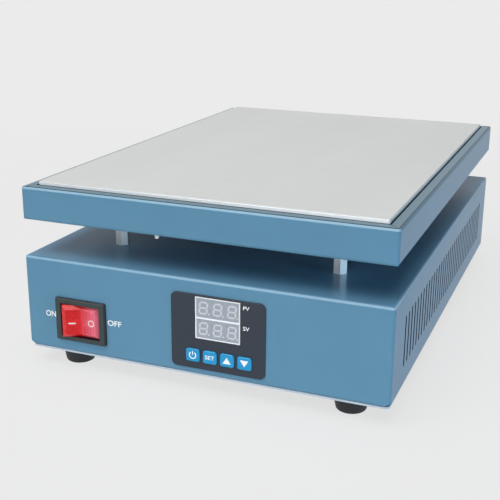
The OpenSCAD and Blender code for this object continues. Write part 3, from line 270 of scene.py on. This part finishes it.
    def uneven(self, source, spread):
        """Varies the roughness by an amount either way."""
        low, high = self.roughness - spread, self.roughness + spread
        self.link(self.remap(source, low, high), self.shader.inputs["Roughness"])
        return self

    def raised(self, source, depth, strength=1.0):
        """Raises the surface by the source's values times a depth in metres."""
        node = self.tree.nodes.new("ShaderNodeBump")
        node.inputs["Distance"].default_value = depth
        node.inputs["Strength"].default_value = strength
        self.link(source, node.inputs["Height"])
        if self.normal:
            self.link(self.normal, node.inputs["Normal"])
        self.normal = node.outputs["Normal"]
        self.link(self.normal, self.shader.inputs["Normal"])
        return self


def powder_coat(name, colour):
    """Satin powder coat with a faint orange peel."""
    f = Finish(name, colour, 0.3, specular=0.12)
    f.mottled(f.noise(35 * MM, 4), 0.03)
    return f.raised(f.noise(0.8 * MM, 2), 0.004 * MM)


def folded_paint(name, colour, lip_shade_colour, bend_highlight_colour, nodes):
    """Powder coat on folded sheets, with painted light: a painted highlight on the top bends of the case
    and the tray's front, painted shade on the tray's other top bends and on its lip by the hot plate,
    a painted dark line where the lip meets its bends, and painted shade inside and in cuts."""
    f = powder_coat(name, colour)
    height = f.along("Z")
    front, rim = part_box("top_tray")[0].y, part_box("top_tray")[1].z
    # A painted highlight on the top bends of the case and the tray
    for node in nodes:
        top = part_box(node)[1].z
        f.patched(f.within(height, top - BEND_START, top - BEND_END), bend_highlight_colour)
    # Painted shade on the tray's top bends, behind its front bend
    behind = f.above(f.along("Y"), front + BEND_RADIUS)
    on_bend = f.above(height, rim - BEND_START)
    f.patched(f.combined("MULTIPLY", behind, on_bend), shade(colour, 0.6))
    # A painted dark line at the top of the tray's bends, then painted shade on its flat lip
    f.patched(f.above(height, rim - BEND_END), shade(lip_shade_colour, 0.4))
    f.patched(f.above(height, rim - SKIN), lip_shade_colour)
    # Painted shade on the inner faces and on the sides of cuts and slots
    for node in nodes:
        depth = f.box_depth(*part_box(node), BEND_RADIUS)
        f.patched(f.below(depth, BEND_RADIUS - SKIN), shade(colour, 0.1))
    return f


def cover_paint(name, colour, edge_highlight_colour):
    """Powder coat on a flat sheet, paler on its cut edges: a painted highlight there."""
    f = powder_coat(name, colour)
    low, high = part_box("bottom_plate")
    room = Vector((0, 0, COVER_CORNER_RADIUS))
    depth = f.box_depth(low - room, high + room, COVER_CORNER_RADIUS)
    # A painted highlight on the cut edges
    return f.patched(f.above(depth, COVER_CORNER_RADIUS - SKIN), edge_highlight_colour)


def ground_plate(name, colour, side_highlight_colour):
    """Fine-ground aluminium with grain across it, a painted dark line on its top chamfer, a painted
    highlight on its sides, and painted shade where it sits down in the tray.
    """
    f = Finish(name, colour, 0.5, metallic=0.4)
    f.mottled(f.noise(60 * MM, 5, (1, 0.35, 1)), 0.025)
    height, top = f.along("Z"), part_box("heating_plate")[1].z
    # Painted shade on the top chamfer, a painted highlight on the sides, and painted shade below the tray's rim
    f.patched(f.below(height, top - SKIN), shade(colour, 0.6))
    f.patched(f.below(height, top - EDGE_CHAMFER), side_highlight_colour)
    f.patched(f.below(height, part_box("top_tray")[1].z), shade(side_highlight_colour, 0.03))
    f.uneven(f.noise(3 * MM, 4, (0.06, 1, 1)), 0.05)
    f.raised(f.noise(0.4 * MM, 2, (0.02, 1, 1)), 0.0025 * MM)
    return f.raised(f.noise(22 * MM, 3), 0.01 * MM)


def plated(name, colour, roughness, patches=0.05, metallic=1.0):
    """Plated steel: clouds in the plating and fine upright lines."""
    f = Finish(name, colour, roughness, metallic)
    f.mottled(f.noise(2.5 * MM, 4), patches)
    return f.raised(f.noise(0.15 * MM, 2, (1, 1, 0.08)), 0.001 * MM)


def brushed(name, colour, roughness, stretch=(0.03, 1, 1)):
    """Rolled or brushed metal: long grain along the axis with the small stretch."""
    f = Finish(name, colour, roughness, metallic=1.0)
    f.mottled(f.noise(0.8 * MM, 4, stretch), 0.07)
    f.uneven(f.noise(1.5 * MM, 4, stretch), 0.07)
    return f.raised(f.noise(0.3 * MM, 2, stretch), 0.004 * MM)


def moulded(name, colour, roughness, grain=0.25, depth=0.006, spread=0.04):
    """Moulded plastic or rubber: a fine grain, its size and depth in millimetres."""
    f = Finish(name, colour, roughness)
    f.mottled(f.noise(6 * MM, 4), spread)
    f.uneven(f.noise(2 * MM), 0.05)
    return f.raised(f.noise(grain * MM, 2), depth * MM)


def bezel_plastic(name, colour, face_sheen_colour):
    """Black moulded plastic, with a painted sheen that makes the front face of the switch's bezel greyer."""
    f = moulded(name, colour, 0.42)
    face = f.below(f.along("Y"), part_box("switch_body")[0].y + SKIN)
    # A painted sheen on the bezel's front face
    return f.patched(face, face_sheen_colour)


def red_plastic_with_sheen(name, colour, depth_colour, sheen_colour):
    """Clear red plastic of a lighted rocker: glossy, with a painted sheen that pales its OFF half towards the end.
    """
    f = Finish(name, colour, 0.3, specular=0.35)
    f.mottled(f.noise(4 * MM, 3), 0.05, depth_colour)
    low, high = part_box(ROCKER)
    middle = (low.x + high.x) / 2
    # A painted sheen, growing from the middle towards the end of the OFF half
    f.patched(f.remap(f.along("X"), 0, 1, middle, high.x - SHEEN_MARGIN), sheen_colour)
    f.uneven(f.noise(1.5 * MM), 0.04)
    f.set("Subsurface Weight", 0.25)
    f.set("Subsurface Radius", (1.6 * MM, 0.4 * MM, 0.3 * MM))
    f.set("Subsurface Scale", 1.0)
    return f.raised(f.noise(0.5 * MM, 2), 0.002 * MM)


def woven(name, colour, pitch):
    """Woven or braided fibre: two sets of strands that cross."""
    f = Finish(name, colour, 0.85, specular=0.2)
    f.mottled(f.noise(1.2 * MM, 4), 0.12)
    f.raised(f.waves(pitch, "DIAGONAL", 0.4), 0.12 * MM)
    return f.raised(f.waves(pitch, "Z", 0.6), 0.08 * MM)


def felted(name, colour):
    """Felted ceramic fibre: matt, with loose fibres and pits."""
    f = Finish(name, colour, 0.95, specular=0.1)
    f.mottled(f.noise(5 * MM, 6), 0.08)
    f.raised(f.noise(2.5 * MM, 6), 0.5 * MM, 0.7)
    return f.raised(f.noise(0.4 * MM, 4, (1, 0.2, 1)), 0.1 * MM)


def flaked(name, colour, tint):
    """Mica board: pressed flakes with a pearly sheen."""
    f = Finish(name, colour, 0.45)
    f.mottled(f.cells(3 * MM), 0.1, tint)
    f.uneven(f.cells(3 * MM, (0.7, 1.3, 1)), 0.12)
    return f.raised(f.cells(2.2 * MM), 0.01 * MM)


def solder_mask(name, colour):
    """Circuit board: glossy mask over faint copper runs."""
    f = Finish(name, colour, 0.3)
    f.mottled(f.waves(2.4 * MM, "X", 6.0), 0.18)
    f.uneven(f.noise(3 * MM), 0.05)
    f.set("Coat Weight", 0.3)
    return f.raised(f.waves(2.4 * MM, "X", 6.0), 0.01 * MM)


def make_finishes():
    """One material for each slot of the record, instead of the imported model's plain ones.
    A colour is a row of linear values, or of screen values where linear() is called."""
    for material in list(bpy.data.materials):
        bpy.data.materials.remove(material)
    black = linear(20, 24, 32)
    return {
        # The case's colour, then the painted shade of the tray's lip and the painted highlight of the bends
        "case_paint": folded_paint("case_paint", (0.118, 0.274, 0.408, 1), (0.115, 0.2, 0.255, 1),
                                   (0.28, 0.45, 0.58, 1), ("base_case", "top_tray")),
        # The cover's colour, then the painted highlight of its cut edges
        "cover_paint": cover_paint("cover_paint", (0.09, 0.2, 0.31, 1), linear(196, 208, 218)),
        # The plate's colour, then the painted highlight of its sides
        "plate_metal": ground_plate("plate_metal", (0.68, 0.69, 0.68, 1), (0.86, 0.89, 0.91, 1)),
        "bright_steel": plated("bright_steel", (0.97, 0.98, 0.97, 1), 0.3, 0.02, 0.8),
        "zinc_steel": plated("zinc_steel", (0.56, 0.58, 0.6, 1), 0.34, 0.09),
        "clamp_steel": brushed("clamp_steel", (0.42, 0.43, 0.44, 1), 0.42),
        "foot_rubber": moulded("foot_rubber", linear(13, 17, 22), 0.55, 0.4, 0.012),
        "grommet_rubber": moulded("grommet_rubber", linear(30, 30, 31), 0.65, 0.4, 0.012),
        "sleeve_fibre": woven("sleeve_fibre", linear(222, 214, 190), 1.1 * MM),
        "mica": flaked("mica", linear(176, 158, 122), linear(214, 198, 164)),
        "ribbon_alloy": brushed("ribbon_alloy", (0.26, 0.22, 0.18, 1), 0.48, (1, 0.05, 1)),
        "brass": brushed("brass", (0.62, 0.43, 0.17, 1), 0.32, (0.1, 1, 1)),
        "blanket_fibre": felted("blanket_fibre", linear(232, 230, 220)),
        "spacer_ceramic": moulded("spacer_ceramic", linear(226, 220, 204), 0.75, 0.6, 0.02),
        # Black, then the painted sheen of the bezel's front face
        "black_plastic": bezel_plastic("black_plastic", black, linear(40, 54, 54)),
        # Red, a deeper red in its clouds, and the painted sheen of the OFF half
        "rocker_red": red_plastic_with_sheen("rocker_red", linear(208, 10, 18), linear(220, 22, 32),
                                  linear(238, 116, 138)),
        "overlay_film": moulded("overlay_film", linear(30, 41, 55), 0.46, 0.18, 0.005, 0.03),
        "display_white": moulded("display_white", linear(248, 249, 250), 0.35, 0.5, 0.003, 0.015),
        "display_grey": moulded("display_grey", linear(157, 164, 174), 0.3, 0.5, 0.002, 0.02),
        "segment_white": moulded("segment_white", linear(203, 207, 213), 0.4, 0.3, 0.002, 0.015),
        "key_blue": moulded("key_blue", linear(2, 148, 203), 0.34, 0.3, 0.003, 0.03),
        "board_green": solder_mask("board_green", linear(18, 92, 48)),
        "block_green": moulded("block_green", linear(40, 122, 62), 0.45),
        "core_yellow": moulded("core_yellow", linear(198, 176, 66), 0.5, 0.8, 0.02),
        "can_blue": moulded("can_blue", linear(38, 46, 92), 0.28, 0.8, 0.004),
        "sink_aluminium": brushed("sink_aluminium", (0.62, 0.63, 0.65, 1), 0.38, (1, 1, 0.03)),
        "strip_white": moulded("strip_white", linear(226, 224, 214), 0.4),
        "tinned_brass": plated("tinned_brass", (0.66, 0.64, 0.56, 1), 0.3, 0.08),
        "receptacle_red": moulded("receptacle_red", linear(176, 34, 30), 0.45),
        "mains_cable": moulded("mains_cable", linear(112, 66, 36), 0.4, 0.5, 0.004),
        "heater_cable": woven("heater_cable", linear(196, 186, 160), 0.7 * MM),
        "signal_cable": moulded("signal_cable", linear(40, 48, 132), 0.4, 0.5, 0.004),
    }


def make_camera():
    """The photograph's camera."""
    data = bpy.data.cameras.new("camera")
    data.sensor_fit = "HORIZONTAL"
    data.sensor_width = CAMERA_SENSOR
    data.lens = CAMERA_LENS
    data.shift_x, data.shift_y = CAMERA_SHIFT
    data.clip_start = 10 * MM
    camera = bpy.data.objects.new("camera", data)
    turn = Matrix.Rotation(math.radians(CAMERA_AZIMUTH), 4, "Z")
    tilt = Matrix.Rotation(math.radians(90 - CAMERA_PITCH), 4, "X")
    roll = Matrix.Rotation(math.radians(CAMERA_ROLL), 4, "Z")
    camera.matrix_world = Matrix.Translation(CAMERA_PLACE) @ turn @ tilt @ roll
    bpy.context.scene.collection.objects.link(camera)
    bpy.context.scene.camera = camera


def dress_nodes(frame, finishes):
    """Gives every CAD node the finish of its slot in the record."""
    for row in frame["record"]["subparts"]:
        mesh = frame["nodes"][row["node"]].data
        mesh.materials.clear()
        mesh.materials.append(finishes[row["material_slot"]].material)


def surface_y(node, x, z):
    """How far forward the node's surface lies at a point of the front view."""
    obj = bpy.data.objects[node]
    start = Vector((x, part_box(node)[0].y - RAY_START, z))
    hit, place, _, _ = obj.ray_cast(start, Vector((0, 1, 0)))
    if not hit:
        raise ValueError(f"{node} has no surface at {x}, {z}")
    return place.y


def solid_print(outlines, holes=()):
    """A thin closed solid from outlines in the plane of the front, less the holes."""
    bm = bmesh.new()
    edges = []
    for outline in list(outlines) + list(holes):
        corners = [bm.verts.new((x, 0, z)) for x, z in outline]
        edges += [bm.edges.new((corners[i - 1], corners[i])) for i in range(len(corners))]
    bmesh.ops.triangle_fill(bm, use_beauty=True, use_dissolve=True, edges=edges, normal=(0, -1, 0))
    back = bm.faces[:]
    front = bmesh.ops.extrude_face_region(bm, geom=back)
    moved = [part for part in front["geom"] if isinstance(part, bmesh.types.BMVert)]
    bmesh.ops.translate(bm, verts=moved, vec=(0, -(PRINT_OUT + PRINT_IN), 0))
    bmesh.ops.translate(bm, verts=bm.verts[:], vec=(0, PRINT_IN, 0))
    bmesh.ops.recalc_face_normals(bm, faces=bm.faces[:])
    return bm


def print_mark(name, bm, place, body, finish, turn=None):
    """Makes an object of a thin solid, puts it in its place and has it ride on its body."""
    mesh = bpy.data.meshes.new(name)
    bm.to_mesh(mesh)
    bm.free()
    obj = bpy.data.objects.new(name, mesh)
    bpy.context.scene.collection.objects.link(obj)
    obj.matrix_world = Matrix.Translation(place) @ (turn or Matrix.Identity(4))
    mesh.materials.append(finish.material)
    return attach(obj, body)


def lettering(name, text, width, height, weight=0.0):
    """Plain letters as a thin solid, centred and fitted to a width and a height; the weight
    thickens their strokes."""
    curve = bpy.data.curves.new(name + "_text", "FONT")
    curve.body = text
    curve.offset = weight
    curve.extrude = (PRINT_OUT + PRINT_IN) / 2
    curve.resolution_u = 6
    obj = bpy.data.objects.new(name + "_text", curve)
    bpy.context.scene.collection.objects.link(obj)
    graph = bpy.context.evaluated_depsgraph_get()
    mesh = bpy.data.meshes.new_from_object(obj.evaluated_get(graph))
    bm = bmesh.new()
    bm.from_mesh(mesh)
    bpy.data.objects.remove(obj)
    bpy.data.curves.remove(curve)
    bpy.data.meshes.remove(mesh)
    bmesh.ops.remove_doubles(bm, verts=bm.verts[:], dist=MERGE_DISTANCE)
    xs = [v.co.x for v in bm.verts]
    ys = [v.co.y for v in bm.verts]
    middle = ((min(xs) + max(xs)) / 2, (min(ys) + max(ys)) / 2)
    wide = width / (max(xs) - min(xs))
    high = height / (max(ys) - min(ys))
    lift = (PRINT_OUT - PRINT_IN) / 2
    for v in bm.verts:
        v.co = ((v.co.x - middle[0]) * wide, -lift - v.co.z, (v.co.y - middle[1]) * high)
    bmesh.ops.recalc_face_normals(bm, faces=bm.faces[:])
    return bm


def arc(radius, start, end):
    """Points on a circle from one angle to another, in degrees."""
    steps = max(2, round(abs(end - start) / ARC_STEP))
    angles = [math.radians(start + (end - start) * i / steps) for i in range(steps + 1)]
    return [(radius * math.cos(a), radius * math.sin(a)) for a in angles]


def circle(radius):
    """Points all round a circle, each of them once."""
    return arc(radius, 0, 360 - ARC_STEP)


def ring(radius, stroke):
    """A closed ring with the given outer radius."""
    return solid_print([circle(radius)], [circle(radius - stroke)])


def power_symbol(radius, stroke, gap_angle):
    """A ring that is open at the top, with an upright bar in the opening."""
    start, end = 90 + gap_angle / 2, 450 - gap_angle / 2
    bow = arc(radius, start, end) + arc(radius - stroke, end, start)
    half, foot, top = stroke / 2, radius / 10, radius + stroke / 2
    stem = [(-half, foot), (half, foot), (half, top), (-half, top)]
    return solid_print([bow, stem])


def triangle(width, height, up):
    """A triangle that points up or down, centred."""
    rise = height / 2 if up else -height / 2
    return solid_print([[(-width / 2, -rise), (width / 2, -rise), (0, rise)]])


def bar(width, height):
    """A plain rectangle, centred."""
    w, h = width / 2, height / 2
    return solid_print([[(-w, -h), (w, -h), (w, h), (-w, h)]])


def print_word(text, node, left, top, size, white):
    """A word on a fixed surface, from its left and top edges."""
    name = f"mark_{text.lower()}"
    width, height = size
    x, z = left + width / 2, top - height / 2
    letters = lettering(name, text, width, height, weight=0.012)
    print_mark(name, letters, (x, surface_y(node, x, z), z), "case", white)


def mark_case(white):
    """ON and OFF beside the switch, and the names of the two rows beside the display."""
    switch_low, switch_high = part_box("switch_body")
    top = (switch_low.z + switch_high.z) / 2 + SWITCH_WORD_RISE
    left_of_switch = switch_low.x - SWITCH_GAP - ON_SIZE[0]
    print_word("ON", "base_case", left_of_switch, top, ON_SIZE, white)
    print_word("OFF", "base_case", switch_high.x + SWITCH_GAP, top, OFF_SIZE, white)

    display_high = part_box("display_frame")[1]
    right_of_display, top = display_high.x + DISPLAY_GAP, display_high.z
    print_word("PV", "control_overlay", right_of_display, top - PV_DROP, PV_SIZE, white)
    print_word("SV", "control_overlay", right_of_display, top - SV_DROP, SV_SIZE, white)


def mark_keys(white):
    """One symbol on each key, riding with it."""
    symbols = {
        "power": power_symbol(2.15 * MM, 0.55 * MM, 70),
        "set": lettering("mark_set", "SET", *SET_SIZE, weight=0.014),
        "up": triangle(4.7 * MM, 3.6 * MM, True),
        "down": triangle(4.7 * MM, 3.6 * MM, False),
    }
    for name, symbol in symbols.items():
        node = f"button_{name}"
        low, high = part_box(node)
        middle = (low + high) / 2
        place = (middle.x, surface_y(node, middle.x, middle.z), middle.z)
        print_mark(f"mark_key_{name}", symbol, place, f"{name}_key", white)


def mark_rocker(frame, pale):
    """The bar on the raised half of the rocker and the ring on the pressed half."""
    joint = next(j for j in frame["joints"] if j["name"] == "rocker_tilt")
    pivot = Vector(joint["pos_m"])
    swing = math.radians(joint["range_deg"][1])
    valley_x = pivot.x + FACET_DROP * math.tan(swing / 2)
    bar_x, bar_z = valley_x - BAR_OUT * math.cos(swing), pivot.z - 0.7 * MM
    ring_x, ring_z = valley_x + RING_OUT, pivot.z + 0.1 * MM
    bar_place = (bar_x, surface_y(ROCKER, bar_x, bar_z), bar_z)
    ring_place = (ring_x, surface_y(ROCKER, ring_x, ring_z), ring_z)
    raised = Matrix.Rotation(swing, 4, "Z")
    print_mark("mark_rocker_bar", bar(3.9 * MM, 0.8 * MM), bar_place, "rocker", pale, raised)
    print_mark("mark_rocker_ring", ring(1.95 * MM, 0.55 * MM), ring_place, "rocker", pale)


def area_lamp(name, place, target, size, power, colour=(1, 1, 1), mirrored=True):
    """A soft square lamp that faces a point, and may be left out of reflections."""
    data = bpy.data.lights.new(name, "AREA")
    data.shape = "SQUARE"
    data.size = size
    data.energy = power
    data.color = colour
    lamp = bpy.data.objects.new(name, data)
    lamp.location = place
    lamp.visible_glossy = mirrored
    lamp.rotation_euler = (Vector(place) - Vector(target)).to_track_quat("Z", "Y").to_euler()
    bpy.context.scene.collection.objects.link(lamp)


def make_lamps():
    """Two wide lamps overhead, a low one in front, a bluish one at the right, one behind."""
    middle = (0, 0, 0.06)
    area_lamp("top", (-0.1, -0.3, 1.7), middle, 1.8, 23)
    area_lamp("key", (-0.35, -1.2, 1.65), middle, 1.2, 13)
    area_lamp("front", (0.1, -1.6, 0.25), middle, 0.5, 7)
    area_lamp("side", (1.5, -0.5, 0.25), middle, 0.5, 7, (0.4, 0.72, 1.0))
    area_lamp("rear", (-0.3, 1.7, 0.5), middle, 0.8, 9, mirrored=False)


def make_world():
    """A faint light from all round, behind the pale room that the eye and reflections see."""
    world = bpy.data.worlds.new("studio")
    bpy.context.scene.world = world
    world.use_nodes = True
    tree = world.node_tree
    tree.nodes.clear()

    def math_node(operation, first, second):
        node = tree.nodes.new("ShaderNodeMath")
        node.operation = operation
        tree.links.new(first, node.inputs[0])
        tree.links.new(second, node.inputs[1])
        return node.outputs[0]

    def light(colour, strength=1.0):
        node = tree.nodes.new("ShaderNodeBackground")
        node.inputs["Color"].default_value = colour
        node.inputs["Strength"].default_value = strength
        return node.outputs[0]

    def mixed(share, first, second):
        node = tree.nodes.new("ShaderNodeMixShader")
        for socket, source in zip(node.inputs, (share, first, second)):
            tree.links.new(source, socket)
        return node.outputs[0]

    path = tree.nodes.new("ShaderNodeLightPath")
    glossy = path.outputs["Is Glossy Ray"]
    seen = math_node("MAXIMUM", path.outputs["Is Camera Ray"], path.outputs["Is Transmission Ray"])
    split = tree.nodes.new("ShaderNodeSeparateXYZ")
    tree.links.new(tree.nodes.new("ShaderNodeTexCoord").outputs["Generated"], split.inputs[0])
    rise = tree.nodes.new("ShaderNodeMapRange")
    rise.inputs["From Min"].default_value = CEILING_START
    rise.inputs["From Max"].default_value = CEILING_END
    tree.links.new(split.outputs["Z"], rise.inputs["Value"])
    shown = math_node("MAXIMUM", seen, glossy)
    room = mixed(shown, light((1, 1, 1, 1), AMBIENT), light(BACKGROUND))
    above = math_node("MULTIPLY", glossy, rise.outputs["Result"])
    out = tree.nodes.new("ShaderNodeOutputWorld")
    tree.links.new(mixed(above, room, light(CEILING)), out.inputs["Surface"])


def floor_material():
    """Matt pale floor, paler to the eye, that fades into the background away from the object."""
    f = Finish("floor", FLOOR_COLOUR, 0.9, specular=0.05)
    f.mottled(f.noise(40 * MM), 0.006)
    path = f.tree.nodes.new("ShaderNodeLightPath")
    seen = f.combined("MAXIMUM", path.outputs["Is Camera Ray"], path.outputs["Is Glossy Ray"])
    glow = f.tree.nodes.new("ShaderNodeEmission")
    glow.inputs["Color"].default_value = FLOOR_GLOW
    pale = f.mixed(f.remap(seen, 0, FLOOR_GLOW_SHARE, 0, 1), f.shader.outputs[0], glow.outputs[0])
    away = f.vector("LENGTH", f.place)
    fade = f.remap(away, 0, 1, FLOOR_SOLID_RADIUS, FLOOR_FADE_RADIUS)
    clear = f.tree.nodes.new("ShaderNodeBsdfTransparent")
    surface = f.tree.nodes["Material Output"].inputs["Surface"]
    f.link(f.mixed(fade, pale, clear.outputs[0]), surface)
    return f.material


def make_floor():
    """A round floor, which is no part of the object."""
    bm = bmesh.new()
    bmesh.ops.create_circle(bm, cap_ends=True, segments=FLOOR_SIDES, radius=FLOOR_MESH_RADIUS)
    mesh = bpy.data.meshes.new("floor")
    bm.to_mesh(mesh)
    bm.free()
    mesh.materials.append(floor_material())
    floor = bpy.data.objects.new("floor", mesh)
    bpy.context.scene.collection.objects.link(floor)


with open("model.json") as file:
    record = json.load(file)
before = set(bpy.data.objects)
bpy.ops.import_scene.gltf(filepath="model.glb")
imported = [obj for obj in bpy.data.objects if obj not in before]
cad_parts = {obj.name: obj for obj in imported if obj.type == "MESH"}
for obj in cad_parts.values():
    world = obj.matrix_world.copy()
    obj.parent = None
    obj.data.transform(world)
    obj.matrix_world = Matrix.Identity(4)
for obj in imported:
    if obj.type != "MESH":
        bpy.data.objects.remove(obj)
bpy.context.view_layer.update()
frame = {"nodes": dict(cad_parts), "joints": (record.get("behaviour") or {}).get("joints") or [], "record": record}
make_camera()
finishes = make_finishes()
dress_nodes(frame, finishes)
mark_case(finishes["display_white"])
mark_keys(finishes["display_white"])
mark_rocker(frame, finishes["strip_white"])
make_lamps()
make_world()
make_floor()
bpy.context.scene.view_settings.view_transform = "Standard"
